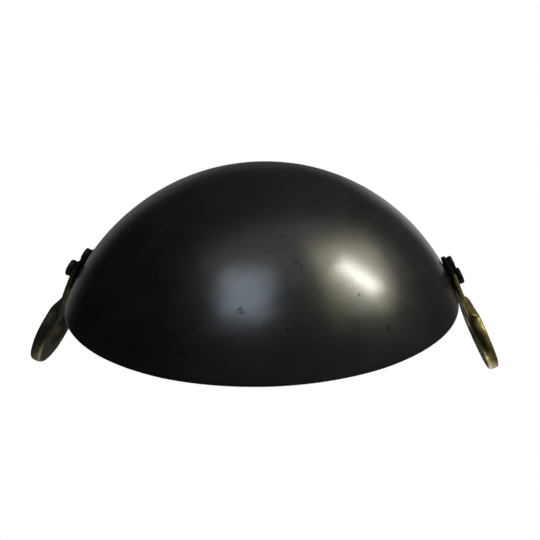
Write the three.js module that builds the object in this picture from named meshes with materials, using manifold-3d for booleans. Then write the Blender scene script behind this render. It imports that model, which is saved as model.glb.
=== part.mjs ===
// A round-bottomed iron wok, standing on its small flat with the mouth up.
// Two cast brass ring handles rise past the rim, each held by a pair of iron rivets.
// Millimetres, +Z up, origin on the floor under the middle of the bowl, handles along X.

import * as THREE from 'three';
import { mergeVertices } from 'three/addons/utils/BufferGeometryUtils.js';
import Module from 'manifold-3d';

const wasm = await Module();
wasm.setup();

// Bowl: a dished iron sheet with a plain cut rim
const RIM_RADIUS = 150;
const BOWL_DEPTH = 97;
const WALL = 2.5;
const FLAT_RADIUS = 16;
const RIM_EASE = 0.6;

// Handle: a flat-backed brass casting, an oval ring on a neck that spreads into a thin foot
const RING_WIDTH = 64;
const RING_LENGTH = 63;
const BAR_WIDTH = 15.5;
const BAR_THICKNESS = 9.2;
const BAR_ROUND = 2.6;
const NECK_WIDTH = 41;
const RAMP_LENGTH = 10;
const FOOT_THICKNESS = 3.8;
const FOOT_MARGIN = 8;
const FOOT_CORNER = 8;
const FOOT_EASE = 1;

// Where the handle sits, measured along its length from the line where its back meets the wall
const SEAT_BELOW_RIM = 5.4;
const RIVETS_BELOW_SEAT = 10.5;
const RING_ABOVE_SEAT = 19;

// Rivets: a flat-topped head outside, a shank through foot and wall, a peened tail inside
const RIVET_SPACING = 28;
const SHANK_RADIUS = 3;
const HEAD_RADIUS = 6.5;
const HEAD_HEIGHT = 4.2;
const HEAD_ROUND = 1.2;
const TAIL_RADIUS = 6;
const TAIL_HEIGHT = 2.4;
const TAIL_CROWN = 1.6;

// Clearances between touching pieces
const SEAT_GAP = 0.3;
const HOLE_GAP = 0.3;

// Facets
const TURN_STEPS = 80;
const ARC_STEPS = 14;
const RING_STEPS = 28;
const RIVET_STEPS = 24;
const ROUND_STEPS = 3;
const WELD_DISTANCE = 1e-4;

// The wall is part of a sphere that passes through the rim and the edge of the flat
const SPHERE_HEIGHT = (RIM_RADIUS ** 2 + BOWL_DEPTH ** 2 - FLAT_RADIUS ** 2) / (2 * BOWL_DEPTH);
const OUTER_SPHERE = Math.hypot(FLAT_RADIUS, SPHERE_HEIGHT);
const INNER_SPHERE = OUTER_SPHERE - WALL;

// The handle leans as the wall does where they meet
const SEAT_HEIGHT = BOWL_DEPTH - SEAT_BELOW_RIM;
const LEAN = Math.asin((SPHERE_HEIGHT - SEAT_HEIGHT) / OUTER_SPHERE);
const SEAT_RADIUS = OUTER_SPHERE * Math.cos(LEAN);

// Places along the handle, and the heights of its faces over the wall
const RING_CENTRE = RING_ABOVE_SEAT + RING_LENGTH / 2;
const RING_CORE = RING_ABOVE_SEAT + BAR_WIDTH / 2;
const FOOT_END = -RIVETS_BELOW_SEAT - FOOT_MARGIN;
const FOOT_WIDTH = RIVET_SPACING + 2 * FOOT_MARGIN;
const HANDLE_BACK = SEAT_GAP;
const NECK_THICKNESS = BAR_THICKNESS - BAR_ROUND / 2;
const HEAD_SEAT = HANDLE_BACK + FOOT_THICKNESS + SEAT_GAP;

// A handle's own axes: X out from the wall, Y across, Z along the handle
const FROM_OUTLINE = basis([0, 1, 0], [0, 0, 1], [1, 0, 0]);
const FROM_SIDE_VIEW = basis([0, 0, 1], [1, 0, 0], [0, 1, 0]);

const IRON = new THREE.MeshStandardMaterial({ color: 0x252122, roughness: 0.45, metalness: 0.7 });
const BRASS = new THREE.MeshStandardMaterial({ color: 0xa3904a, roughness: 0.35, metalness: 1.0 });
const RIVET_IRON = new THREE.MeshStandardMaterial({ color: 0x161414, roughness: 0.55, metalness: 0.7 });

function basis(x, y, z) {
  const axes = [x, y, z].map((axis) => new THREE.Vector3(...axis));
  return new THREE.Matrix4().makeBasis(...axes);
}

// Turns a closed three.js geometry into a solid that can be joined and cut
function solid(geometry) {
  const bare = geometry.index ? geometry.toNonIndexed() : geometry.clone();
  bare.deleteAttribute('normal');
  bare.deleteAttribute('uv');
  const merged = mergeVertices(bare, WELD_DISTANCE);
  const corners = merged.index.array;
  const triVerts = [];
  for (let i = 0; i < corners.length; i += 3) {
    const [a, b, c] = corners.subarray(i, i + 3);
    if (a !== b && b !== c && c !== a) triVerts.push(a, b, c);
  }
  const vertProperties = new Float32Array(merged.attributes.position.array);
  const mesh = new wasm.Mesh({ numProp: 3, vertProperties, triVerts: new Uint32Array(triVerts) });
  return new wasm.Manifold(mesh);
}

function geometryOf(body) {
  const mesh = body.getMesh();
  const geometry = new THREE.BufferGeometry();
  geometry.setAttribute('position', new THREE.BufferAttribute(mesh.vertProperties, mesh.numProp));
  geometry.setIndex(new THREE.BufferAttribute(mesh.triVerts, 1));
  geometry.computeVertexNormals();
  return geometry;
}

// A solid turned from a half profile of [radius, height] points
function turned(points, steps) {
  const profile = points.map(([radius, height]) => new THREE.Vector2(radius, height));
  return new THREE.LatheGeometry(profile, steps);
}

// A solid turned about the bowl's axis
function turnedUpright(points) {
  return solid(turned(points, TURN_STEPS).rotateX(Math.PI / 2));
}

// Points of a quarter round, from the axis side [0, 1] round to the outside [1, 0]
function quarterRound() {
  const points = [];
  for (let i = 0; i <= ROUND_STEPS; i += 1) {
    const angle = (i / ROUND_STEPS) * (Math.PI / 2);
    points.push([Math.sin(angle), Math.cos(angle)]);
  }
  return points;
}

// Points on a sphere about the wall's centre, between two heights
function wallArc(radius, fromHeight, toHeight) {
  const from = Math.acos((SPHERE_HEIGHT - fromHeight) / radius);
  const to = Math.acos((SPHERE_HEIGHT - toHeight) / radius);
  const points = [];
  for (let i = 0; i <= ARC_STEPS; i += 1) {
    const angle = from + ((to - from) * i) / ARC_STEPS;
    points.push([radius * Math.sin(angle), SPHERE_HEIGHT - radius * Math.cos(angle)]);
  }
  return points;
}

function wallRadiusAt(sphere, height) {
  return Math.sqrt(sphere ** 2 - (SPHERE_HEIGHT - height) ** 2);
}

// The iron bowl, before its rivet holes
function bowlBlank() {
  const underRim = BOWL_DEPTH - RIM_EASE;
  const profile = [
    [0, 0],
    ...wallArc(OUTER_SPHERE, 0, underRim),
    [RIM_RADIUS - RIM_EASE, BOWL_DEPTH],
    [wallRadiusAt(INNER_SPHERE, BOWL_DEPTH) + RIM_EASE, BOWL_DEPTH],
    ...wallArc(INNER_SPHERE, WALL, underRim).reverse(),
    [0, WALL],
  ];
  return turnedUpright(profile);
}

// The space inside the bowl that a peened tail can fill
function bowlSpace() {
  const lining = INNER_SPHERE - SEAT_GAP;
  const profile = [
    [0, WALL + SEAT_GAP],
    ...wallArc(lining, WALL + SEAT_GAP, BOWL_DEPTH),
    [0, BOWL_DEPTH],
  ];
  return turnedUpright(profile);
}

// The handle's place on the wall, for one side of the bowl
function seatMatrix(turn) {
  const side = new THREE.Matrix4().makeRotationZ(turn);
  const place = new THREE.Matrix4().makeTranslation(SEAT_RADIUS, 0, SEAT_HEIGHT);
  const lean = new THREE.Matrix4().makeRotationY(LEAN);
  return side.multiply(place).multiply(lean);
}

// Across the handle, the front rivet of the right handle first
function rivetPlaces() {
  return [-RIVET_SPACING / 2, RIVET_SPACING / 2];
}

// Distance of the inner wall behind the handle's seat at a rivet, along the rivet
function innerWallAt(across) {
  const off = across ** 2 + RIVETS_BELOW_SEAT ** 2;
  return Math.sqrt(INNER_SPHERE ** 2 - off) - OUTER_SPHERE;
}

// Moves a piece turned about its own axis to one rivet's place on the handle
function atRivet(geometry, across) {
  return solid(geometry.applyMatrix4(FROM_SIDE_VIEW).translate(0, across, -RIVETS_BELOW_SEAT));
}

// The hole for one rivet, long enough to pass through the foot and the wall
function rivetHole(across) {
  const radius = SHANK_RADIUS + HOLE_GAP;
  const inside = innerWallAt(across) - TAIL_HEIGHT;
  const outside = HEAD_SEAT + HEAD_HEIGHT;
  const hole = new THREE.CylinderGeometry(radius, radius, outside - inside, RIVET_STEPS);
  return atRivet(hole.translate(0, (outside + inside) / 2, 0), across);
}

// The oval ring, with the edges of its bar rounded
function ring() {
  const outline = new THREE.Shape();
  outline.absellipse(0, RING_CENTRE, RING_WIDTH / 2, RING_LENGTH / 2, 0, 2 * Math.PI);
  const grip = new THREE.Path();
  const gripWidth = RING_WIDTH / 2 - BAR_WIDTH;
  const gripLength = RING_LENGTH / 2 - BAR_WIDTH;
  grip.absellipse(0, RING_CENTRE, gripWidth, gripLength, 0, 2 * Math.PI);
  outline.holes.push(grip);
  const bar = new THREE.ExtrudeGeometry(outline, {
    depth: BAR_THICKNESS - 2 * BAR_ROUND,
    bevelThickness: BAR_ROUND,
    bevelSize: BAR_ROUND,
    bevelOffset: -BAR_ROUND,
    bevelSegments: ROUND_STEPS,
    curveSegments: RING_STEPS,
  });
  bar.translate(0, 0, HANDLE_BACK + BAR_ROUND);
  return solid(bar.applyMatrix4(FROM_OUTLINE));
}

// The foot as seen from outside: round corners at its end, drawn in to the neck under the ring
function footOutline() {
  const half = FOOT_WIDTH / 2;
  const neck = NECK_WIDTH / 2;
  const shoulder = -RIVETS_BELOW_SEAT + HEAD_RADIUS;
  const drawIn = (shoulder + RING_ABOVE_SEAT) / 2;
  const outline = new THREE.Shape();
  outline.moveTo(-half + FOOT_CORNER, FOOT_END);
  outline.lineTo(half - FOOT_CORNER, FOOT_END);
  outline.absarc(half - FOOT_CORNER, FOOT_END + FOOT_CORNER, FOOT_CORNER, -Math.PI / 2, 0);
  outline.lineTo(half, shoulder);
  outline.bezierCurveTo(half, drawIn, neck, drawIn, neck, RING_ABOVE_SEAT);
  outline.lineTo(neck, RING_CORE);
  outline.lineTo(-neck, RING_CORE);
  outline.lineTo(-neck, RING_ABOVE_SEAT);
  outline.bezierCurveTo(-neck, drawIn, -half, drawIn, -half, shoulder);
  outline.lineTo(-half, FOOT_END + FOOT_CORNER);
  outline.absarc(-half + FOOT_CORNER, FOOT_END + FOOT_CORNER, FOOT_CORNER, Math.PI, 1.5 * Math.PI);
  return outline;
}

// The foot, before it is thinned
function footBlank() {
  const plan = new THREE.ExtrudeGeometry(footOutline(), {
    depth: NECK_THICKNESS,
    bevelEnabled: false,
    curveSegments: RIVET_STEPS / 4,
  });
  return solid(plan.translate(0, 0, HANDLE_BACK).applyMatrix4(FROM_OUTLINE));
}

// The handle as seen from the side: a thin foot with an eased end, a ramp, then room for the ring
function sideView() {
  const ringEnd = RING_ABOVE_SEAT + RING_LENGTH + FOOT_EASE;
  const rampEnd = RING_ABOVE_SEAT + RAMP_LENGTH;
  const rampMiddle = RING_ABOVE_SEAT + RAMP_LENGTH / 2;
  const overRing = BAR_THICKNESS + FOOT_EASE;
  const view = new THREE.Shape();
  view.moveTo(FOOT_END, -FOOT_EASE);
  view.lineTo(ringEnd, -FOOT_EASE);
  view.lineTo(ringEnd, overRing);
  view.lineTo(rampEnd, overRing);
  view.bezierCurveTo(rampMiddle, overRing, rampMiddle, FOOT_THICKNESS, RING_ABOVE_SEAT, FOOT_THICKNESS);
  view.lineTo(FOOT_END + FOOT_EASE, FOOT_THICKNESS);
  view.lineTo(FOOT_END, FOOT_THICKNESS - FOOT_EASE);
  return view;
}

// The space that the handle keeps to, wide enough for the ring
function handleSpace() {
  const width = RING_WIDTH + 2 * FOOT_EASE;
  const section = new THREE.ExtrudeGeometry(sideView(), {
    depth: width,
    bevelEnabled: false,
    curveSegments: RIVET_STEPS / 3,
  });
  return solid(section.translate(0, HANDLE_BACK, -width / 2).applyMatrix4(FROM_SIDE_VIEW));
}

function handle() {
  let casting = ring().add(footBlank()).intersect(handleSpace());
  for (const across of rivetPlaces()) {
    casting = casting.subtract(rivetHole(across));
  }
  return casting;
}

// One rivet, its tail peened to the curve of the bowl
function rivet(across, space) {
  const wall = innerWallAt(across);
  const tailEnd = wall - SEAT_GAP - TAIL_HEIGHT;
  const headTop = HEAD_SEAT + HEAD_HEIGHT;
  const headEdge = quarterRound().reverse().map(([out, up]) => [
    HEAD_RADIUS - HEAD_ROUND * (1 - out),
    headTop - HEAD_ROUND * (1 - up),
  ]);
  const headAndShank = [
    [0, tailEnd],
    [SHANK_RADIUS, tailEnd],
    [SHANK_RADIUS, HEAD_SEAT],
    [HEAD_RADIUS, HEAD_SEAT],
    ...headEdge,
    [0, headTop],
  ];
  const crown = quarterRound().map(([out, up]) => [TAIL_RADIUS * out, tailEnd + TAIL_CROWN * (1 - up)]);
  const tail = [...crown, [TAIL_RADIUS, wall + WALL], [0, wall + WALL]];
  const peened = atRivet(turned(tail, RIVET_STEPS), across).intersect(space);
  return atRivet(turned(headAndShank, RIVET_STEPS), across).add(peened);
}

const wok = new THREE.Group();
const sides = [
  { side: 'right', turn: 0, rivets: ['front', 'back'] },
  { side: 'left', turn: Math.PI, rivets: ['back', 'front'] },
];

let bowl = bowlBlank();
const toSeat = seatMatrix(0).invert();
const spaceAtSeat = solid(geometryOf(bowlSpace()).applyMatrix4(toSeat));
const handleGeometry = geometryOf(handle());

for (const { side, turn, rivets } of sides) {
  const seat = new THREE.Group();
  seat.applyMatrix4(seatMatrix(turn));
  const casting = new THREE.Mesh(handleGeometry, BRASS);
  casting.name = `${side}_handle`;
  seat.add(casting);
  rivetPlaces().forEach((across, i) => {
    const hole = geometryOf(rivetHole(across)).applyMatrix4(seatMatrix(turn));
    bowl = bowl.subtract(solid(hole));
    const piece = new THREE.Mesh(geometryOf(rivet(across, spaceAtSeat)), RIVET_IRON);
    piece.name = `${side}_rivet_${rivets[i]}`;
    seat.add(piece);
  });
  wok.add(seat);
}

const bowlMesh = new THREE.Mesh(geometryOf(bowl), IRON);
bowlMesh.name = 'bowl';
wok.add(bowlMesh);

export default wok;
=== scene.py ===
import math

import bmesh
import bpy
from mathutils import Matrix, Vector, noise


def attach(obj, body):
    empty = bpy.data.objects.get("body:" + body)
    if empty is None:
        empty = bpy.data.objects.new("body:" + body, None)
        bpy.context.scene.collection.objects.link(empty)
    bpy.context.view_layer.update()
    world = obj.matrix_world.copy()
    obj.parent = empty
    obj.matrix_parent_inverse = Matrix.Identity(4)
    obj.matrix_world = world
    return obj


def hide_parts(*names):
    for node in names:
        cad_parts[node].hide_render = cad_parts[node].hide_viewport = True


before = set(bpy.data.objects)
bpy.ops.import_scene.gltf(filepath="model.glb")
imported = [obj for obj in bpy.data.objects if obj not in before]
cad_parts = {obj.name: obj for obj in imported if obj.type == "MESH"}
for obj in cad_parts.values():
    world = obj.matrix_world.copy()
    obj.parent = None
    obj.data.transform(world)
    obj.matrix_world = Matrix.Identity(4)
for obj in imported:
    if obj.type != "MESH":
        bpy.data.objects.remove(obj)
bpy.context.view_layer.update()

# Sizes of the bowl, in metres
RIM_RADIUS = 0.150
BOWL_DEPTH = 0.097
WALL = 0.0025
FLAT_RADIUS = 0.016

# The wall is part of a sphere that passes through the rim and the edge of the flat
SPHERE_HEIGHT = (RIM_RADIUS**2 + BOWL_DEPTH**2 - FLAT_RADIUS**2) / (2 * BOWL_DEPTH)
OUTER_SPHERE = math.hypot(FLAT_RADIUS, SPHERE_HEIGHT)
INNER_SPHERE = OUTER_SPHERE - WALL
RIM_CENTRE = Vector((0, 0, BOWL_DEPTH))
WALL_CENTRE = Vector((0, 0, SPHERE_HEIGHT))

# Finish of the bowl: its rounded lip, how far out its base is eased, and how its wall waves
RIM_ROUND = 0.0009
BASE_ROUND = 0.032
BOWL_UNEVEN = 0.0003
BOWL_WAVES = 4.2

# Faces of the bowl round its axis and along its profile, and the share of the profile that is lip
BOWL_AROUND = 288
BOWL_ALONG = 170
LIP_START = 0.475
LIP_END = 0.525

# Where the handles and their rivets sit on the wall
SEAT_BELOW_RIM = 0.0054
RIVETS_BELOW_SEAT = 0.0105
RIVET_SPACING = 0.028
SEAT_GAP = 0.0003
SEAT_HEIGHT = BOWL_DEPTH - SEAT_BELOW_RIM
LEAN = math.asin((SPHERE_HEIGHT - SEAT_HEIGHT) / OUTER_SPHERE)
SEAT_RADIUS = OUTER_SPHERE * math.cos(LEAN)

# Handles: the thin foot, the ring on its neck, and the ramp between their outer faces
FOOT_THICKNESS = 0.0038
BAR_THICKNESS = 0.0092
NECK_WIDTH = 0.041
RING_WIDTH = 0.064
RING_LENGTH = 0.063
RING_ABOVE_SEAT = 0.019
RAMP_LENGTH = 0.010
RAMP_END = RING_ABOVE_SEAT + RAMP_LENGTH
RAMP_RISE = BAR_THICKNESS - FOOT_THICKNESS
FOOT_FACE = SEAT_GAP + FOOT_THICKNESS

# How finely the castings are worked over, and how uneven their skin is
CAST_WELD = 0.00001
CAST_GRAIN = 0.00055
CAST_SOFTENING = 22
CAST_UNEVEN = 0.00018
CAST_SWELLS = 90.0
CAST_PITS = 260.0

# The inner corners where a ring springs from its neck: their place along the handle from its seat and
# across it from the middle, and how far and how often they are rubbed round
CORNER_SHARE = 1 - math.sqrt(1 - (NECK_WIDTH / RING_WIDTH) ** 2)
CORNER_ALONG = RING_ABOVE_SEAT + RING_LENGTH / 2 * CORNER_SHARE
CORNER_ACROSS = NECK_WIDTH / 2
CORNER_REACH = 0.012
CORNER_PASSES = 110

# Rivets: a flat-topped head outside, a shank, and a low domed tail inside the bowl. The squareness of
# a head's or tail's profile is 2 for a dome and more for a flatter top
HEAD_RADIUS = 0.0065
HEAD_HEIGHT = 0.0042
HEAD_SQUARENESS = 8.0
HEAD_SEAT = FOOT_FACE + SEAT_GAP
TAIL_RADIUS = 0.006
TAIL_HEIGHT = 0.0024
TAIL_SQUARENESS = 2.3
SHANK_RADIUS = 0.003
SHANK_SIDES = 24

# Hammer marks on the rivets: their depth, how close they lie, how far they spread the crown, and the
# steps between the seeds of the rivets and of the two ends of one rivet
HAMMERED = 0.0003
HAMMER_MARKS = 1.9
HAMMER_SPREAD = 0.10
RIVET_SEED = 3.7
TAIL_SEED = 7.0

# Faces of a rivet's end round its axis and along its profile, the share of the profile that is crown,
# and the slack that keeps the last row of the crown with it
BUTTON_AROUND = 48
BUTTON_ALONG = 26
CROWN_END = 0.8
CROWN_SLACK = 0.001

# Points nearer than this are one point where a turned sheet closes, and the least share of a reach
# that is raised to a power
SEAM_WELD = 0.000005
LEAST_SHARE = 0.0001

# Colours of the iron, each pair from its dark to its light patches
IRON_OUTSIDE = ((0.0085, 0.0072, 0.0077), (0.0165, 0.0142, 0.0150))
IRON_INSIDE = ((0.016, 0.0135, 0.0115), (0.034, 0.029, 0.026))
IRON_BURNT = ((0.0010, 0.0009, 0.0009), (0.0030, 0.0026, 0.0025))
IRON_RUBBED = (0.10, 0.095, 0.09)
RIVET_TONES = ((0.009, 0.0085, 0.0085), (0.034, 0.031, 0.030))

# Colours of the brass, with a pair where it changes in patches
BRASS_BARE = ((0.42, 0.365, 0.125), (0.19, 0.145, 0.043))
BRASS_FACE = (0.20, 0.165, 0.058)
# Pale brass at the ring's tip: partly worn, partly painted light
BRASS_PALE_TIP_AND_LIGHT = (0.62, 0.54, 0.37)
BRASS_CLOUDED = (0.065, 0.042, 0.013)
BRASS_BROWN = (0.045, 0.027, 0.008)
# Bright brass at the foot's edges: partly rubbed wear, partly painted highlight
BRASS_RUBBED_HIGHLIGHT = (0.72, 0.66, 0.32)
# Darker brass for the whole left handle: painted shade
BRASS_LEFT_PAINTED_SHADE = (0.062, 0.053, 0.034)
# The back where the brass faces the wall: painted shade, brown in patches
BRASS_BACK_PAINTED_SHADE = ((0.011, 0.0075, 0.0035), (0.027, 0.019, 0.009))
# Black on the foot's end about the rivets
RIVET_END_BLACK = (0.006, 0.0055, 0.005)

# How rough the finishes are
IRON_ROUGH = 0.26
BRASS_ROUGH = 0.38
RIVET_ROUGH = 0.46
MATT_ROUGH = 0.8

# How strongly each finish's small bumps show, and their depth in metres
IRON_BUMPS = (0.06, 0.0004)
BRASS_BUMPS = (0.22, 0.0005)
RIVET_BUMPS = (0.3, 0.0005)

# Depth of the iron's skin, and of the rubbed band at its rim
IRON_SKIN = 0.0004
RIM_RUBBED = 0.0012

# Streaks and fine lines round the bowl: how quickly they change along their run and across it. Nearer
# the axis than this they have no direction
STREAK_ALONG = 0.7
STREAK_ACROSS = 26.0
LINE_ALONG = 2.0
LINE_ACROSS = 140.0
NEAREST_AXIS = 0.0005

# Where the brass changes, in metres along a handle from its seat
RIVET_END_BLACK_ENDS = (-0.0160, -0.0095)
RUBBED_HIGHLIGHT_ENDS = (0.012, 0.020)
BROWN_MIDDLE = 0.037
BROWN_REACH = (0.010, 0.018)
PALE_TIP_AND_LIGHT_STARTS = (0.058, 0.074)

# Where the brass changes, in metres out from the wall, out from the outer face, across the foot, and
# from the left handle to the right one, and how far the ragged borders wander
BACK_SHADE_ENDS = (0.0005, 0.0018)
RUBBED_HIGHLIGHT_STARTS = (0.0022, 0.0034)
BROWN_ENDS = (0.0042, 0.0072)
FACE_STARTS = (-0.0008, -0.0002)
RUBBED_HIGHLIGHT_EDGE = (0.0185, 0.0212)
LEFT_TO_RIGHT = (-0.01, 0.01)
BRASS_RAGGED = 0.012

# The photograph: its width, the place of the lens axis in it, and where its camera stood
PHOTO_WIDTH = 540
FOCAL_PIXELS = 558.3
AXIS_PIXEL = (330.0, 270.0)
SENSOR_WIDTH = 36.0
NEAREST_SEEN = 0.01
CAMERA_DISTANCE = 0.45171
CAMERA_LIFT = math.radians(22.106)
CAMERA_ROUND = math.radians(-5.169)
CAMERA_YAW = 0.10946
CAMERA_PITCH = 0.02747
CAMERA_ROLL = math.radians(-0.805)

# The photograph shows the wok standing on its mouth, so its up is the wok's down
MOUTH_DOWN = Matrix(((1, 0, 0), (0, -1, 0), (0, 0, -1)))

# Pixels of the photograph where the bowl mirrors each lamp: the two ends of its width, its top and foot
KEY_GLINT = ((339, 265), (377, 291), (362, 273), (354, 283))
HALO_GLINT = ((321, 276), (387, 276), (356, 246), (356, 309))
ROOM_GLINT = ((205, 278), (400, 278), (300, 260), (300, 302))
COOL_GLINT = ((222, 294), (270, 294), (246, 270), (246, 318))

# The lamps that the bowl mirrors: each one's glint, its distance from the bowl, its glow and its tint
MIRRORED_LAMPS = {
    "key_lamp": (KEY_GLINT, 1.0, 22.0, (1.0, 0.98, 0.92)),
    "key_halo": (HALO_GLINT, 1.05, 1.65, (1.0, 0.99, 0.62)),
    "room_glow": (ROOM_GLINT, 1.3, 0.32, (1.0, 0.92, 0.94)),
    "cool_window": (COOL_GLINT, 1.1, 2.6, (0.74, 0.88, 1.0)),
}

# The lamp above the mouth of the bowl
MOUTH_LAMP_HEIGHT = 1.3
MOUTH_LAMP_SIZE = (1.3, 1.3)
MOUTH_LAMP_GLOW = 2.8

# Small scuffs on the bowl: the pixel of the photograph that shows each one, and its reach in metres
SCUFFS = (
    (241, 311, 0.0030),
    (283, 237, 0.0017),
    (296, 262, 0.0020),
    (301, 266, 0.0016),
    (329, 263, 0.0018),
    (359, 295, 0.0016),
    (388, 328, 0.0026),
    (296, 323, 0.0015),
    (287, 331, 0.0017),
)

# The share of a scuff's reach before it thins out, and how its scratches are drawn out along the axes
SCUFF_CORE = 0.45
SCRATCH_STRETCH = (1.6, 0.6, 1.1)

# The dark tent about the wok: its reach, half the angle of its opening, and the angles about the
# opening between which the painted glow on its cloth dies away
TENT_RADIUS = 2.4
TENT_OPENING = math.radians(10)
TENT_GLOW_START = math.radians(20)
TENT_GLOW_END = math.radians(42)
TENT_ROWS = 24
TENT_COLUMNS = 48

# The painted light on the tent's cloth: its colours, lighter to the right, its glow all round and what
# the right adds, how much wider the glow is on the left, and how much of it is lost overhead
TENT_TONES = ((0.005, 0.005, 0.0055), (0.046, 0.043, 0.040))
TENT_GLOW = 0.20
TENT_GLOW_RIGHT = 0.42
TENT_GLOW_WIDER = 0.25
TENT_GLOW_LOST = 0.6

# The floor: half its side, the distances between which it fades out, and its colours
FLOOR_REACH = 0.8
FLOOR_FADES = (0.28, 0.75)
FLOOR_TONES = ((0.86, 0.86, 0.86), (0.90, 0.90, 0.90))

# The room: plain white to look at, and a soft cool fill
WHITE = (1.0, 1.0, 1.0)
FILL_TINT = (0.9, 0.92, 1.0)
FILL_STRENGTH = 0.14


class Term:
    """An output of a node that takes part in sums as a number does."""

    def __init__(self, tree, socket):
        self.tree = tree
        self.socket = socket

    def also(self, name):
        """Another output of the same node."""
        return Term(self.tree, self.socket.node.outputs[name])

    def work_out(self, operation, *values):
        return self.tree.node("ShaderNodeMath", {"operation": operation}, dict(enumerate(values)))

    def __add__(self, other):
        return self.work_out("ADD", self, other)

    def __radd__(self, other):
        return self.work_out("ADD", other, self)

    def __sub__(self, other):
        return self.work_out("SUBTRACT", self, other)

    def __rsub__(self, other):
        return self.work_out("SUBTRACT", other, self)

    def __mul__(self, other):
        return self.work_out("MULTIPLY", self, other)

    def __rmul__(self, other):
        return self.work_out("MULTIPLY", other, self)

    def __truediv__(self, other):
        return self.work_out("DIVIDE", self, other)

    def __rtruediv__(self, other):
        return self.work_out("DIVIDE", other, self)

    def __pow__(self, other):
        return self.work_out("POWER", self, other)

    def __lt__(self, other):
        return self.work_out("LESS_THAN", self, other)

    def __gt__(self, other):
        return self.work_out("GREATER_THAN", self, other)

    def absolute(self):
        return self.work_out("ABSOLUTE", self)

    def sine(self):
        return self.work_out("SINE", self)

    def cosine(self):
        return self.work_out("COSINE", self)

    def arc_cosine(self):
        return self.work_out("ARCCOSINE", self)

    def highest(self, other):
        return self.work_out("MAXIMUM", self, other)

    def lowest(self, other):
        return self.work_out("MINIMUM", self, other)

    def held(self):
        """Kept between 0 and 1."""
        return self.highest(0.0).lowest(1.0)

    def fade(self, start, end):
        """0 before start and 1 after end, with a soft change between."""
        settings = {"interpolation_type": "SMOOTHSTEP"}
        return self.tree.node("ShaderNodeMapRange", settings, {0: self, 1: start, 2: end})


def paint(tone):
    """A colour as a socket takes it."""
    if isinstance(tone, Term):
        return tone
    return (*tone, 1.0)


class Tree:
    """A node tree that is written from top to bottom."""

    def __init__(self, tree):
        self.tree = tree

    def node(self, kind, settings, inputs, output=0):
        """Adds a node with its settings, and the value, link or list of links of each socket."""
        made = self.tree.nodes.new(kind)
        for name, value in settings.items():
            setattr(made, name, value)
        for name, value in inputs.items():
            if isinstance(value, Term):
                value = [value]
            if isinstance(value, list):
                for term in value:
                    self.tree.links.new(term.socket, made.inputs[name])
            else:
                made.inputs[name].default_value = value
        if len(made.outputs) == 0:
            return None
        return Term(self, made.outputs[output])

    def place(self):
        """The place of a point of the piece."""
        return self.node("ShaderNodeTexCoord", {}, {}, "Object")

    def vector(self, x, y, z):
        return self.node("ShaderNodeCombineXYZ", {}, {0: x, 1: y, 2: z})

    def parts(self, vector):
        x = self.node("ShaderNodeSeparateXYZ", {}, {0: vector})
        return x, x.also("Y"), x.also("Z")

    def measure(self, vector, axis):
        """How far a place lies along an axis."""
        settings = {"operation": "DOT_PRODUCT"}
        return self.node("ShaderNodeVectorMath", settings, {0: vector, 1: axis}, "Value")

    def distance(self, vector, spot):
        """How far a place lies from a spot."""
        settings = {"operation": "DISTANCE"}
        return self.node("ShaderNodeVectorMath", settings, {0: vector, 1: spot}, "Value")

    def grain(self, vector, scale, detail=3.0, roughness=0.55):
        inputs = {"Vector": vector, "Scale": scale, "Detail": detail, "Roughness": roughness}
        return self.node("ShaderNodeTexNoise", {}, inputs)

    def blend(self, factor, first, second):
        """A colour that goes from the first to the second."""
        inputs = {0: factor, 6: paint(first), 7: paint(second)}
        return self.node("ShaderNodeMix", {"data_type": "RGBA"}, inputs, 2)

    def bump(self, strength, distance, height):
        inputs = {"Strength": strength, "Distance": distance, "Height": height}
        return self.node("ShaderNodeBump", {}, inputs)

    def principled(self, inputs):
        return self.node("ShaderNodeBsdfPrincipled", {}, inputs)

    def mixed(self, factor, first, second):
        """A shader that goes from the first to the second."""
        return self.node("ShaderNodeMixShader", {}, {0: factor, 1: first, 2: second})

    def coat(self, shader):
        """Ends a material's tree."""
        self.node("ShaderNodeOutputMaterial", {}, {"Surface": shader})


def new_finish(name):
    """An empty material, and its tree."""
    material = bpy.data.materials.new(name)
    material.use_nodes = True
    material.node_tree.nodes.clear()
    return material, Tree(material.node_tree)


def iron_scars(tree, place):
    """Where the iron is scarred: a few scattered pits, and the scuffs that the photograph shows."""
    cells = tree.node("ShaderNodeTexVoronoi", {}, {"Vector": place, "Scale": 95.0})
    chosen = tree.grain(place, scale=38.0, detail=1.0).fade(0.72, 0.78)
    scars = (1.0 - cells.fade(0.05, 0.16)) * chosen
    drawn_out = [part * stretch for part, stretch in zip(tree.parts(place), SCRATCH_STRETCH)]
    scratches = tree.grain(tree.vector(*drawn_out), scale=700.0, detail=3.0, roughness=0.7)
    scratches = scratches.fade(0.47, 0.55)
    for across, down, reach in SCUFFS:
        spot, _ = wall_seen_at((across, down))
        near = 1.0 - tree.distance(place, spot).fade(reach * SCUFF_CORE, reach)
        scars = scars.highest(near * scratches)
    return scars


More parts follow.
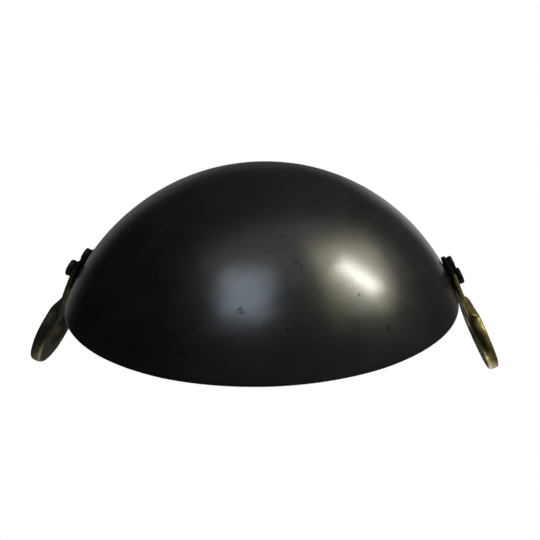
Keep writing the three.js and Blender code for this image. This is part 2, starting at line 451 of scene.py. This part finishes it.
def blackened_iron():
    """Seasoned black iron: a soft bloom, faint lines round the axis, and pits and scuffs burnt matt."""
    material, tree = new_finish("blackened_iron")
    place = tree.place()
    x, y, z = tree.parts(place)
    from_axis = (x * x + y * y) ** 0.5
    from_pole = from_axis.work_out("ARCTAN2", from_axis, SPHERE_HEIGHT - z)
    safe_axis = from_axis.highest(NEAREST_AXIS)
    east = x / safe_axis
    north = y / safe_axis
    streak_place = tree.vector(east * STREAK_ALONG, north * STREAK_ALONG, from_pole * STREAK_ACROSS)
    streaks = tree.grain(streak_place, scale=3.0, detail=4.0, roughness=0.6)
    line_place = tree.vector(east * LINE_ALONG, north * LINE_ALONG, from_pole * LINE_ACROSS)
    lines = tree.grain(line_place, scale=2.0, detail=2.0)
    bloom = tree.grain(place, scale=22.0, detail=4.0, roughness=0.6)
    patches = tree.grain(place, scale=60.0, detail=3.0, roughness=0.6)
    from_centre = tree.distance(place, WALL_CENTRE)
    inside = 1.0 - from_centre.fade(INNER_SPHERE + IRON_SKIN, OUTER_SPHERE - IRON_SKIN)
    scars = iron_scars(tree, place)

    tone = (bloom * 0.8 + streaks * 0.2).fade(0.32, 0.68)
    base = tree.blend(inside, tree.blend(tone, *IRON_OUTSIDE), tree.blend(tone, *IRON_INSIDE))
    rubbed = z.fade(BOWL_DEPTH - RIM_RUBBED, BOWL_DEPTH) * patches.fade(0.35, 0.6)
    base = tree.blend(rubbed * 0.75, base, IRON_RUBBED)
    rough = IRON_ROUGH + (streaks - 0.5) * 0.04 + (patches - 0.5) * 0.08 + inside * 0.06
    height = lines * 0.3 + streaks * 0.15 + patches * 0.4 - scars * 0.35
    oil = 0.10 + (bloom - 0.5) * 0.3
    smooth = tree.principled(
        {
            "Base Color": base,
            "Roughness": rough,
            "Normal": tree.bump(*IRON_BUMPS, height),
            "Coat Weight": oil.held(),
            "Coat Roughness": 0.2,
            "Specular IOR Level": 1.0,
        }
    )
    burnt = tree.blend(patches, *IRON_BURNT)
    scar = tree.principled({"Base Color": burnt, "Roughness": MATT_ROUGH, "Specular IOR Level": 0.1})
    tree.coat(tree.mixed((scars * 0.85).held(), smooth, scar))
    return material


def dull_brass():
    """Cast brass: dull on its faces; bright at the foot's edges, partly rubbed and partly painted
    highlight; pale at the tip, partly worn and partly painted light; a brown back of painted shade
    where it faces the wall, and black about the rivets. The left handle has painted shade all over."""
    material, tree = new_finish("dull_brass")
    place = tree.place()
    x, y, z = tree.parts(place)
    past_seat = x.absolute() - SEAT_RADIUS
    above_seat = z - SEAT_HEIGHT
    along = past_seat * math.sin(LEAN) + above_seat * math.cos(LEAN)
    out = past_seat * math.cos(LEAN) - above_seat * math.sin(LEAN)

    clouds = tree.grain(place, scale=75.0, detail=4.0, roughness=0.62)
    blots = tree.grain(place, scale=210.0, detail=3.0, roughness=0.6)
    scuffs = tree.grain(tree.vector(x, y, z * 0.25), scale=420.0, detail=2.0)
    ragged = (blots - 0.5) * BRASS_RAGGED
    tarnish = (clouds * 0.65 + blots * 0.35).fade(0.43, 0.62)
    # Painted shade: the whole left handle is darkened
    left_painted_shade = 1.0 - (x + (clouds - 0.5) * 0.02).fade(*LEFT_TO_RIGHT)
    # Black on the foot's end about the rivets
    rivet_end_black = 1.0 - (along + ragged * 0.5).fade(*RIVET_END_BLACK_ENDS)
    # Painted shade on the back, where the brass faces the wall
    back = (1.0 - out.fade(*BACK_SHADE_ENDS)) * (0.8 + blots * 0.4)
    brown = 1.0 - (along + ragged - BROWN_MIDDLE).absolute().fade(*BROWN_REACH)
    brown = brown * (1.0 - (out + ragged * 0.2).fade(*BROWN_ENDS))
    # Pale at the ring's tip: partly worn, partly painted light
    tip = (along + ragged * 1.2).fade(*PALE_TIP_AND_LIGHT_STARTS)
    face_level = FOOT_FACE + along.fade(RING_ABOVE_SEAT, RAMP_END) * RAMP_RISE
    face = (out - face_level).fade(*FACE_STARTS)
    # The foot's side edges made bright: partly rubbed wear, partly painted highlight
    rubbed = (y.absolute() + ragged * 0.1).fade(*RUBBED_HIGHLIGHT_EDGE) * out.fade(*RUBBED_HIGHLIGHT_STARTS)
    rubbed = rubbed * (1.0 - along.fade(*RUBBED_HIGHLIGHT_ENDS)) * blots.fade(0.35, 0.55)

    base = tree.blend(tarnish, *BRASS_BARE)
    base = tree.blend(face * 0.7, base, BRASS_FACE)
    base = tree.blend(tip * 0.85, base, BRASS_PALE_TIP_AND_LIGHT)
    base = tree.blend(clouds.fade(0.54, 0.70) * 0.7, base, BRASS_CLOUDED)
    base = tree.blend(brown.held() * 0.9, base, BRASS_BROWN)
    base = tree.blend(rubbed, base, BRASS_RUBBED_HIGHLIGHT)
    # The left handle's painted shade over all the rest
    base = tree.blend(left_painted_shade * 0.88, base, BRASS_LEFT_PAINTED_SHADE)
    rough = BRASS_ROUGH + tarnish * 0.12 + tip * 0.12 + left_painted_shade * 0.14 + (scuffs - 0.5) * 0.12
    metal = 0.8 - tip * 0.4
    bump = tree.bump(*BRASS_BUMPS, clouds * 0.5 + blots * 0.35 + scuffs * 0.2)
    bare = tree.principled(
        {"Base Color": base, "Roughness": rough.held(), "Metallic": metal, "Normal": bump}
    )
    # A matt finish for the painted shade on the back and for the black about the rivets
    back_shade_and_end_black = tree.blend(rivet_end_black, tree.blend(blots, *BRASS_BACK_PAINTED_SHADE), RIVET_END_BLACK)
    matt = tree.principled(
        {"Base Color": back_shade_and_end_black, "Roughness": MATT_ROUGH, "Specular IOR Level": 0.06, "Normal": bump}
    )
    tree.coat(tree.mixed((rivet_end_black + back * 0.92).held(), bare, matt))
    return material


def black_rivet_iron():
    """Hammered rivet iron, black, and rubbed a little grey in patches."""
    material, tree = new_finish("black_rivet_iron")
    place = tree.place()
    beaten = tree.grain(place, scale=320.0, detail=3.0, roughness=0.6)
    rubbed = tree.grain(place, scale=140.0, detail=2.0).fade(0.5, 0.72)
    shader = tree.principled(
        {
            "Base Color": tree.blend(rubbed * 0.7, *RIVET_TONES),
            "Roughness": RIVET_ROUGH + (beaten - 0.5) * 0.25 - rubbed * 0.08,
            "Normal": tree.bump(*RIVET_BUMPS, beaten),
            "Specular IOR Level": 0.2,
        }
    )
    tree.coat(shader)
    return material


def new_rule(name, numbers, vectors=()):
    """An empty geometry tree with a named input for each number and vector."""
    group = bpy.data.node_groups.new(name, "GeometryNodeTree")
    group.interface.new_socket(name="Geometry", in_out="OUTPUT", socket_type="NodeSocketGeometry")
    for label in numbers:
        group.interface.new_socket(name=label, in_out="INPUT", socket_type="NodeSocketFloat")
    for label in vectors:
        group.interface.new_socket(name=label, in_out="INPUT", socket_type="NodeSocketVector")
    tree = Tree(group)
    first = tree.node("NodeGroupInput", {}, {})
    return group, tree, {label: first.also(label) for label in (*numbers, *vectors)}


def end_rule(tree, geometry, finish):
    """Ends a geometry tree: real geometry, smooth, with its finish."""
    smooth = tree.node("GeometryNodeSetShadeSmooth", {}, {"Geometry": geometry})
    real = tree.node("GeometryNodeRealizeInstances", {}, {"Geometry": smooth})
    done = tree.node("GeometryNodeSetMaterial", {}, {"Geometry": real, "Material": finish})
    tree.node("NodeGroupOutput", {}, {"Geometry": done})


def sheet_to_turn(tree, around, along):
    """A flat sheet of faces, with its turn about the axis and its place along the profile."""
    inputs = {"Size X": 1.0, "Size Y": 1.0, "Vertices X": around + 1, "Vertices Y": along + 1}
    sheet = tree.node("GeometryNodeMeshGrid", {}, inputs)
    across, up, _ = tree.parts(tree.node("GeometryNodeInputPosition", {}, {}))
    return sheet, (across + 0.5) * (2 * math.pi), up + 0.5


def wrap(tree, sheet, turn, radius, height):
    """Moves the sheet to its turned place and closes its seam and poles."""
    place = tree.vector(radius * turn.cosine(), radius * turn.sine(), height)
    moved = tree.node("GeometryNodeSetPosition", {}, {"Geometry": sheet, "Position": place})
    return tree.node("GeometryNodeMergeByDistance", {}, {"Geometry": moved, "Distance": SEAM_WELD})


def eased_base(centre, ball, floor, reach, radius):
    """How far the wall rises over its sphere so that it comes down to the floor without an edge."""
    upright = (ball * ball - reach * reach) ** 0.5
    rise = centre - upright - floor
    power = reach * reach / (upright * rise)
    eased = floor + rise * (radius / reach).highest(LEAST_SHARE) ** power
    sphere = centre - (ball * ball - radius * radius) ** 0.5
    return (eased - sphere) * (radius < reach)


def bowl_rule(finish):
    """The dished bowl: an outer wall, a rounded lip and an inner wall turned about one axis."""
    balls = ("Outer sphere", "Inner sphere", "Centre height")
    others = ("Depth", "Wall", "Rim round", "Base round", "Uneven")
    group, tree, size = new_rule("dished_bowl", balls + others)
    outer = size["Outer sphere"]
    inner = size["Inner sphere"]
    centre = size["Centre height"]
    base_round = size["Base round"]
    sheet, turn, along = sheet_to_turn(tree, BOWL_AROUND, BOWL_ALONG)
    on_outer = along < LIP_START
    on_inner = along > LIP_END
    on_lip = 1.0 - on_outer - on_inner

    edge = size["Depth"] - size["Rim round"]
    drop = centre - edge
    outer_reach = (drop / outer).arc_cosine()
    inner_reach = (drop / inner).arc_cosine()
    outer_angle = outer_reach * (along / LIP_START).lowest(1.0)
    inner_angle = inner_reach * ((1.0 - along) / (1.0 - LIP_END)).lowest(1.0)
    over_lip = ((along - LIP_START) / (LIP_END - LIP_START)).held() * math.pi

    angle = on_inner * inner_angle + (1.0 - on_inner) * outer_angle
    facing = tree.vector(angle.sine() * turn.cosine(), angle.sine() * turn.sine(), angle.cosine())
    waves = tree.grain(facing, scale=BOWL_WAVES, detail=2.0, roughness=0.5) - 0.5
    outer_radius = outer * outer_angle.sine()
    inner_radius = inner * inner_angle.sine()
    from_axis = outer_radius * (1.0 - on_inner) + inner_radius * on_inner
    push = waves * size["Uneven"] * 2.0 * (from_axis / base_round).lowest(1.0)

    outer_ball = outer + push
    inner_ball = inner + push
    outer_eased = eased_base(centre, outer, 0.0, base_round, outer_radius)
    inner_eased = eased_base(centre, inner, size["Wall"], base_round, inner_radius)
    outer_height = (centre - outer_ball * outer_angle.cosine() + outer_eased).highest(0.0)
    inner_height = (centre - inner_ball * inner_angle.cosine() + inner_eased).highest(size["Wall"])
    outer_edge = outer * outer_reach.sine()
    inner_edge = inner * inner_reach.sine()
    middle = (outer_edge + inner_edge) * 0.5
    half = (outer_edge - inner_edge) * 0.5
    lip_radius = middle + half * over_lip.cosine() + push
    lip_height = edge + size["Rim round"] * over_lip.sine()

    radius = on_outer * outer_ball * outer_angle.sine() + on_inner * inner_ball * inner_angle.sine()
    radius = radius + on_lip * lip_radius
    height = on_outer * outer_height + on_inner * inner_height + on_lip * lip_height
    end_rule(tree, wrap(tree, sheet, turn, radius, height), finish)
    return group


def button(tree, radius, height, base, squareness, beaten, seed):
    """A round button about Z with a flat or domed crown and hammer marks, closed underneath."""
    sheet, turn, along = sheet_to_turn(tree, BUTTON_AROUND, BUTTON_ALONG)
    power = 2.0 / squareness
    angle = (along / CROWN_END).lowest(1.0) ** (1.0 / power) * (math.pi / 2)
    on_crown = along < CROWN_END + CROWN_SLACK
    reach = angle.sine().highest(0.0) ** power
    rise = angle.cosine().highest(0.0) ** power
    under = ((1.0 - along) / (1.0 - CROWN_END)).lowest(1.0)
    mark_place = tree.vector(reach * turn.cosine(), reach * turn.sine(), seed)
    marks = tree.grain(mark_place, scale=HAMMER_MARKS, detail=2.0, roughness=0.5) - 0.5
    swell = 1.0 + marks * HAMMER_SPREAD * on_crown
    out = radius * swell * (on_crown * reach + (1.0 - on_crown) * under)
    up = base + height * rise * on_crown + marks * beaten * on_crown * rise * 2.0
    return wrap(tree, sheet, turn, out, up)


def rivet_rule(finish):
    """A hammered rivet along Z: head outside, shank, and a peened tail inside the bowl."""
    ends = ("Head radius", "Head height", "Head seat", "Tail radius", "Tail height", "Tail seat")
    others = ("Shank radius", "Beaten", "Seed")
    group, tree, size = new_rule("hammered_rivet", ends + others, ("Place", "Lean"))
    beaten = size["Beaten"]
    seed = size["Seed"]
    head_seat = size["Head seat"]
    tail_seat = size["Tail seat"]
    head = button(
        tree, size["Head radius"], size["Head height"], head_seat, HEAD_SQUARENESS, beaten, seed
    )
    tail = button(
        tree,
        size["Tail radius"],
        size["Tail height"],
        0.0 - tail_seat,
        TAIL_SQUARENESS,
        beaten,
        seed + TAIL_SEED,
    )
    inwards = {"Geometry": tail, "Rotation": (math.pi, 0, 0)}
    turned_in = tree.node("GeometryNodeTransform", {}, inwards)
    bar = {"Vertices": SHANK_SIDES, "Radius": size["Shank radius"], "Depth": head_seat - tail_seat}
    shank = tree.node("GeometryNodeMeshCylinder", {}, bar)
    middle = tree.vector(0.0, 0.0, (head_seat + tail_seat) * 0.5)
    shank = tree.node("GeometryNodeTransform", {}, {"Geometry": shank, "Translation": middle})
    joined = tree.node("GeometryNodeJoinGeometry", {}, {0: [head, turned_in, shank]})
    seat = {"Geometry": joined, "Translation": size["Place"], "Rotation": size["Lean"]}
    end_rule(tree, tree.node("GeometryNodeTransform", {}, seat), finish)
    return group


def put_in_scene(name, data):
    """An object of this mesh, lamp or lens."""
    thing = bpy.data.objects.new(name, data)
    bpy.context.scene.collection.objects.link(thing)
    return thing


def made_by(rule, name, values):
    """A plain mesh object made by a geometry tree with these sizes."""
    blank = bpy.data.meshes.new(name + "_blank")
    worker = put_in_scene(name + "_worker", blank)
    modifier = worker.modifiers.new("rule", "NODES")
    modifier.node_group = rule
    for item in rule.interface.items_tree:
        if item.in_out == "INPUT":
            modifier[item.identifier] = values[item.name]
    evaluated = worker.evaluated_get(bpy.context.evaluated_depsgraph_get())
    mesh = bpy.data.meshes.new_from_object(evaluated)
    worker.modifiers.remove(modifier)
    bpy.data.objects.remove(worker)
    bpy.data.meshes.remove(blank)
    return stand(name, mesh)


def stand(name, mesh):
    """Faces a closed mesh outwards and puts it in the scene."""
    work = bmesh.new()
    work.from_mesh(mesh)
    bmesh.ops.recalc_face_normals(work, faces=work.faces)
    if work.calc_volume(signed=True) < 0:
        bmesh.ops.reverse_faces(work, faces=work.faces)
    work.to_mesh(mesh)
    work.free()
    mesh.name = name
    return put_in_scene(name, mesh)


def hand_in(piece, node):
    """The piece rides on the wok in place of its solid."""
    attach(piece, "root")
    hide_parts(node)


def make_bowl(finish):
    values = {
        "Outer sphere": OUTER_SPHERE,
        "Inner sphere": INNER_SPHERE,
        "Centre height": SPHERE_HEIGHT,
        "Depth": BOWL_DEPTH,
        "Wall": WALL,
        "Rim round": RIM_ROUND,
        "Base round": BASE_ROUND,
        "Uneven": BOWL_UNEVEN,
    }
    piece = made_by(bowl_rule(finish), "iron_bowl", values)
    hand_in(piece, "bowl")


def make_rivets(finish):
    """Two rivets on each side, square to the wall at the seat of their handle."""
    rule = rivet_rule(finish)
    sides = {"right": 0.0, "left": math.pi}
    ends = {"front": -1, "back": 1}
    half_spacing = RIVET_SPACING / 2
    to_wall = math.sqrt(INNER_SPHERE**2 - half_spacing**2 - RIVETS_BELOW_SEAT**2) - OUTER_SPHERE
    for side, turn in sides.items():
        seat = Matrix.Rotation(turn, 4, "Z") @ Matrix.Translation((SEAT_RADIUS, 0, SEAT_HEIGHT))
        seat = seat @ Matrix.Rotation(LEAN, 4, "Y")
        lean = (seat.to_3x3() @ Matrix.Rotation(math.pi / 2, 3, "Y")).to_euler()
        for end, sign in ends.items():
            sideways = sign * half_spacing * math.cos(turn)
            values = {
                "Head radius": HEAD_RADIUS,
                "Head height": HEAD_HEIGHT,
                "Head seat": HEAD_SEAT,
                "Tail radius": TAIL_RADIUS,
                "Tail height": TAIL_HEIGHT,
                "Tail seat": to_wall - SEAT_GAP,
                "Shank radius": SHANK_RADIUS,
                "Beaten": HAMMERED,
                "Seed": turn + sign * RIVET_SEED,
                "Place": seat @ Vector((0, sideways, -RIVETS_BELOW_SEAT)),
                "Lean": lean,
            }
            piece = made_by(rule, f"{side}_rivet_{end}_hammered", values)
            hand_in(piece, f"{side}_rivet_{end}")


def from_corner(spot):
    """How far a point of a handle lies from the nearest inner corner, in the plane of the ring."""
    past_seat = abs(spot.x) - SEAT_RADIUS
    along = past_seat * math.sin(LEAN) + (spot.z - SEAT_HEIGHT) * math.cos(LEAN)
    return math.hypot(along - CORNER_ALONG, abs(spot.y) - CORNER_ACROSS)


def ease_corners(mesh):
    """Rubs the inner corners of a handle round, most at the corner itself."""
    work = bmesh.new()
    work.from_mesh(mesh)
    spots = [(from_corner(vertex.co), vertex) for vertex in work.verts]
    for step in range(CORNER_PASSES):
        reach = CORNER_REACH * (1 - step / CORNER_PASSES)
        near = [vertex for distance, vertex in spots if distance < reach]
        bmesh.ops.smooth_vert(work, verts=near, factor=0.5, use_axis_y=True)
    work.to_mesh(mesh)
    work.free()


def roughen(mesh):
    """Gives a casting its slightly uneven skin."""
    places = [vertex.co.copy() for vertex in mesh.vertices]
    facings = [vertex.normal.copy() for vertex in mesh.vertices]
    for vertex, spot, facing in zip(mesh.vertices, places, facings):
        swell = noise.noise(spot * CAST_SWELLS) + 0.5 * noise.noise(spot * CAST_PITS)
        vertex.co = spot + facing * (swell * CAST_UNEVEN)


def make_handle(side, finish):
    """A brass casting: the handle's solid worked over so that its edges run soft."""
    name = f"{side}_brass_handle"
    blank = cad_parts[f"{side}_handle"].data.copy()
    work = bmesh.new()
    work.from_mesh(blank)
    bmesh.ops.remove_doubles(work, verts=work.verts, dist=CAST_WELD)
    work.to_mesh(blank)
    work.free()
    worker = put_in_scene(name + "_worker", blank)
    casting = worker.modifiers.new("casting", "REMESH")
    casting.mode = "VOXEL"
    casting.voxel_size = CAST_GRAIN
    softened = worker.modifiers.new("softened", "SMOOTH")
    softened.factor = 0.5
    softened.iterations = CAST_SOFTENING
    evaluated = worker.evaluated_get(bpy.context.evaluated_depsgraph_get())
    mesh = bpy.data.meshes.new_from_object(evaluated)
    bpy.data.objects.remove(worker)
    bpy.data.meshes.remove(blank)
    ease_corners(mesh)
    roughen(mesh)
    mesh.materials.clear()
    mesh.materials.append(finish)
    mesh.shade_smooth()
    hand_in(stand(name, mesh), f"{side}_handle")


def camera_axes():
    """Where the photograph's camera stood, with its right, up and ahead, in the wok's frame."""
    right = Vector((1, 0, 0))
    up = Vector((0, math.sin(CAMERA_LIFT), math.cos(CAMERA_LIFT)))
    ahead = Vector((0, math.cos(CAMERA_LIFT), -math.sin(CAMERA_LIFT)))
    stood = ahead * -CAMERA_DISTANCE
    right, ahead = (
        right * math.cos(CAMERA_YAW) - ahead * math.sin(CAMERA_YAW),
        right * math.sin(CAMERA_YAW) + ahead * math.cos(CAMERA_YAW),
    )
    up, ahead = (
        up * math.cos(CAMERA_PITCH) - ahead * math.sin(CAMERA_PITCH),
        up * math.sin(CAMERA_PITCH) + ahead * math.cos(CAMERA_PITCH),
    )
    right, up = (
        right * math.cos(CAMERA_ROLL) + up * math.sin(CAMERA_ROLL),
        up * math.cos(CAMERA_ROLL) - right * math.sin(CAMERA_ROLL),
    )
    into_wok = MOUTH_DOWN @ Matrix.Rotation(-CAMERA_ROUND, 3, "Z")
    stood, right, up, ahead = (into_wok @ axis for axis in (stood, right, up, ahead))
    return stood + RIM_CENTRE, right, up, ahead


def turned_to(right, up, back):
    """The turn of a camera or lamp with these axes."""
    return Matrix((right, up, back)).transposed()


def make_camera():
    stood, right, up, ahead = camera_axes()
    lens = bpy.data.cameras.new("photo_camera")
    lens.sensor_width = SENSOR_WIDTH
    lens.lens = FOCAL_PIXELS / PHOTO_WIDTH * SENSOR_WIDTH
    lens.shift_x = 0.5 - AXIS_PIXEL[0] / PHOTO_WIDTH
    lens.shift_y = AXIS_PIXEL[1] / PHOTO_WIDTH - 0.5
    lens.clip_start = NEAREST_SEEN
    camera = put_in_scene("photo_camera", lens)
    camera.matrix_world = Matrix.Translation(stood) @ turned_to(right, up, -ahead).to_4x4()
    bpy.context.scene.camera = camera


def wall_seen_at(pixel):
    """The point of the bowl's outer wall that the photograph shows at a pixel, and the line of sight."""
    stood, right, up, ahead = camera_axes()
    across = (pixel[0] - AXIS_PIXEL[0]) / FOCAL_PIXELS
    down = (pixel[1] - AXIS_PIXEL[1]) / FOCAL_PIXELS
    sight = (ahead + right * across - up * down).normalized()
    to_centre = WALL_CENTRE - stood
    along = sight.dot(to_centre)
    inwards = math.sqrt(OUTER_SPHERE**2 - to_centre.length_squared + along**2)
    return stood + sight * (along - inwards), sight


def glint_place(pixel, distance):
    """Where a lamp stands so that the bowl mirrors it at a pixel, and the point that mirrors it."""
    spot, sight = wall_seen_at(pixel)
    outwards = (spot - WALL_CENTRE).normalized()
    return spot + sight.reflect(outwards) * distance, spot


def lamp_at(name, place, turn, size, glow, tint):
    """A soft rectangular lamp of an even glow, seen only in reflections and by its light."""
    light = bpy.data.lights.new(name, "AREA")
    light.shape = "RECTANGLE"
    light.size, light.size_y = size
    light.energy = glow * math.pi * size[0] * size[1]
    light.color = tint
    lamp = put_in_scene(name, light)
    lamp.matrix_world = Matrix.Translation(place) @ turn.to_4x4()
    lamp.visible_camera = False


def mirrored_lamp(name, glint, distance, glow, tint):
    """A lamp that stands where the bowl mirrors it between four pixels of the photograph."""
    places = [glint_place(pixel, distance) for pixel in glint]
    (start, spot), (end, other), (top, _), (foot, _) = places
    place = (start + end) / 2
    across = (end - start).normalized()
    back = (place - (spot + other) / 2).normalized()
    back = (back - across * back.dot(across)).normalized()
    turn = turned_to(across, back.cross(across), back)
    size = ((end - start).length, (top - foot).length)
    lamp_at(name, place, turn, size, glow, tint)


def make_lamps():
    for name, settings in MIRRORED_LAMPS.items():
        mirrored_lamp(name, *settings)
    overhead = Vector((0, 0, MOUTH_LAMP_HEIGHT))
    lamp_at("mouth_lamp", overhead, Matrix.Identity(3), MOUTH_LAMP_SIZE, MOUTH_LAMP_GLOW, WHITE)


def put_on_stage(name, points, faces, finish, unseen_by):
    """A sheet that isn't part of the wok, hidden from some kinds of ray."""
    mesh = bpy.data.meshes.new(name)
    mesh.from_pydata(points, [], faces)
    mesh.materials.append(finish)
    sheet = put_in_scene(name, mesh)
    for ray in unseen_by:
        setattr(sheet, f"visible_{ray}", False)


def tent_cloth():
    """Dark cloth with a painted glow about the opening: most on the right, wider on the left and least
    overhead.
    """
    material, tree = new_finish("tent_cloth")
    _, right, up, ahead = camera_axes()
    place = tree.place()
    sideways = tree.measure(place, right) / TENT_RADIUS
    upwards = tree.measure(place, up) / TENT_RADIUS
    forwards = tree.measure(place, ahead) / TENT_RADIUS
    weave = tree.grain(place, scale=1.3)
    cloth = tree.blend((sideways + (weave - 0.5) * 0.4).fade(-1.0, 1.0), *TENT_TONES)
    to_left = (0.0 - sideways).highest(0.0)
    opening = forwards + to_left * TENT_GLOW_WIDER
    near = opening.fade(math.cos(TENT_GLOW_END), math.cos(TENT_GLOW_START))
    overhead = (upwards - sideways.absolute()).fade(0.0, 0.3)
    glow = near * (TENT_GLOW + sideways.fade(-0.1, 0.35) * TENT_GLOW_RIGHT)
    # The cloth's painted glow about the opening
    painted_glow_cloth = tree.blend(glow * (1.0 - overhead * TENT_GLOW_LOST), cloth, WHITE)
    tree.coat(tree.node("ShaderNodeEmission", {}, {"Color": painted_glow_cloth, "Strength": 1.0}))
    return material


def make_tent():
    """A dark cloth tent that only reflections see, with one opening towards the white behind the wok."""
    _, right, up, ahead = camera_axes()
    points = []
    for row in range(TENT_ROWS + 1):
        open_angle = TENT_OPENING + (math.pi - TENT_OPENING) * row / TENT_ROWS
        for column in range(TENT_COLUMNS):
            turn = 2 * math.pi * column / TENT_COLUMNS
            out = right * math.cos(turn) + up * math.sin(turn)
            way = ahead * math.cos(open_angle) + out * math.sin(open_angle)
            points.append(RIM_CENTRE + way * TENT_RADIUS)
    faces = []
    for row in range(TENT_ROWS):
        low = row * TENT_COLUMNS
        high = low + TENT_COLUMNS
        for column in range(TENT_COLUMNS):
            after = (column + 1) % TENT_COLUMNS
            faces.append((low + column, low + after, high + after, high + column))
    unseen_by = ("camera", "diffuse", "shadow", "transmission")
    put_on_stage("dark_tent", points, faces, tent_cloth(), unseen_by)


def floor_paint():
    """Pale paint that is seen from above only, and fades out into the white room."""
    material, tree = new_finish("pale_floor")
    place = tree.place()
    tone = tree.blend(tree.grain(place, scale=30.0), *FLOOR_TONES)
    pale = tree.node("ShaderNodeBsdfDiffuse", {}, {"Color": tone})
    clear = tree.node("ShaderNodeBsdfTransparent", {}, {"Color": paint(WHITE)})
    under = tree.node("ShaderNodeNewGeometry", {}, {}, "Backfacing")
    far = tree.node("ShaderNodeVectorMath", {"operation": "LENGTH"}, {0: place}, "Value")
    tree.coat(tree.mixed(far.fade(*FLOOR_FADES).highest(under), pale, clear))
    return material


def make_floor():
    """A pale floor under the wok that takes its shadow."""
    corners = ((-1, -1), (1, -1), (1, 1), (-1, 1))
    points = [(FLOOR_REACH * across, FLOOR_REACH * back, 0) for across, back in corners]
    put_on_stage("pale_floor", points, [(0, 1, 2, 3)], floor_paint(), ("shadow", "glossy", "diffuse"))


def make_world():
    """A white backdrop for what the camera sees and for reflections, and a soft even fill."""
    world = bpy.data.worlds.new("white_room")
    world.use_nodes = True
    world.node_tree.nodes.clear()
    tree = Tree(world.node_tree)
    path = tree.node("ShaderNodeLightPath", {}, {}, "Is Camera Ray")
    seen = path.highest(path.also("Is Glossy Ray")).highest(path.also("Is Transmission Ray"))
    soft = {"Color": paint(FILL_TINT), "Strength": FILL_STRENGTH}
    fill = tree.node("ShaderNodeBackground", {}, soft)
    white = tree.node("ShaderNodeBackground", {}, {"Color": paint(WHITE), "Strength": 1.0})
    tree.node("ShaderNodeOutputWorld", {}, {"Surface": tree.mixed(seen, fill, white)})
    bpy.context.scene.world = world


iron = blackened_iron()
brass = dull_brass()
rivet_iron = black_rivet_iron()

make_bowl(iron)
make_handle("right", brass)
make_handle("left", brass)
make_rivets(rivet_iron)

make_camera()
make_lamps()
make_tent()
make_floor()
make_world()
bpy.context.scene.view_settings.view_transform = "Standard"
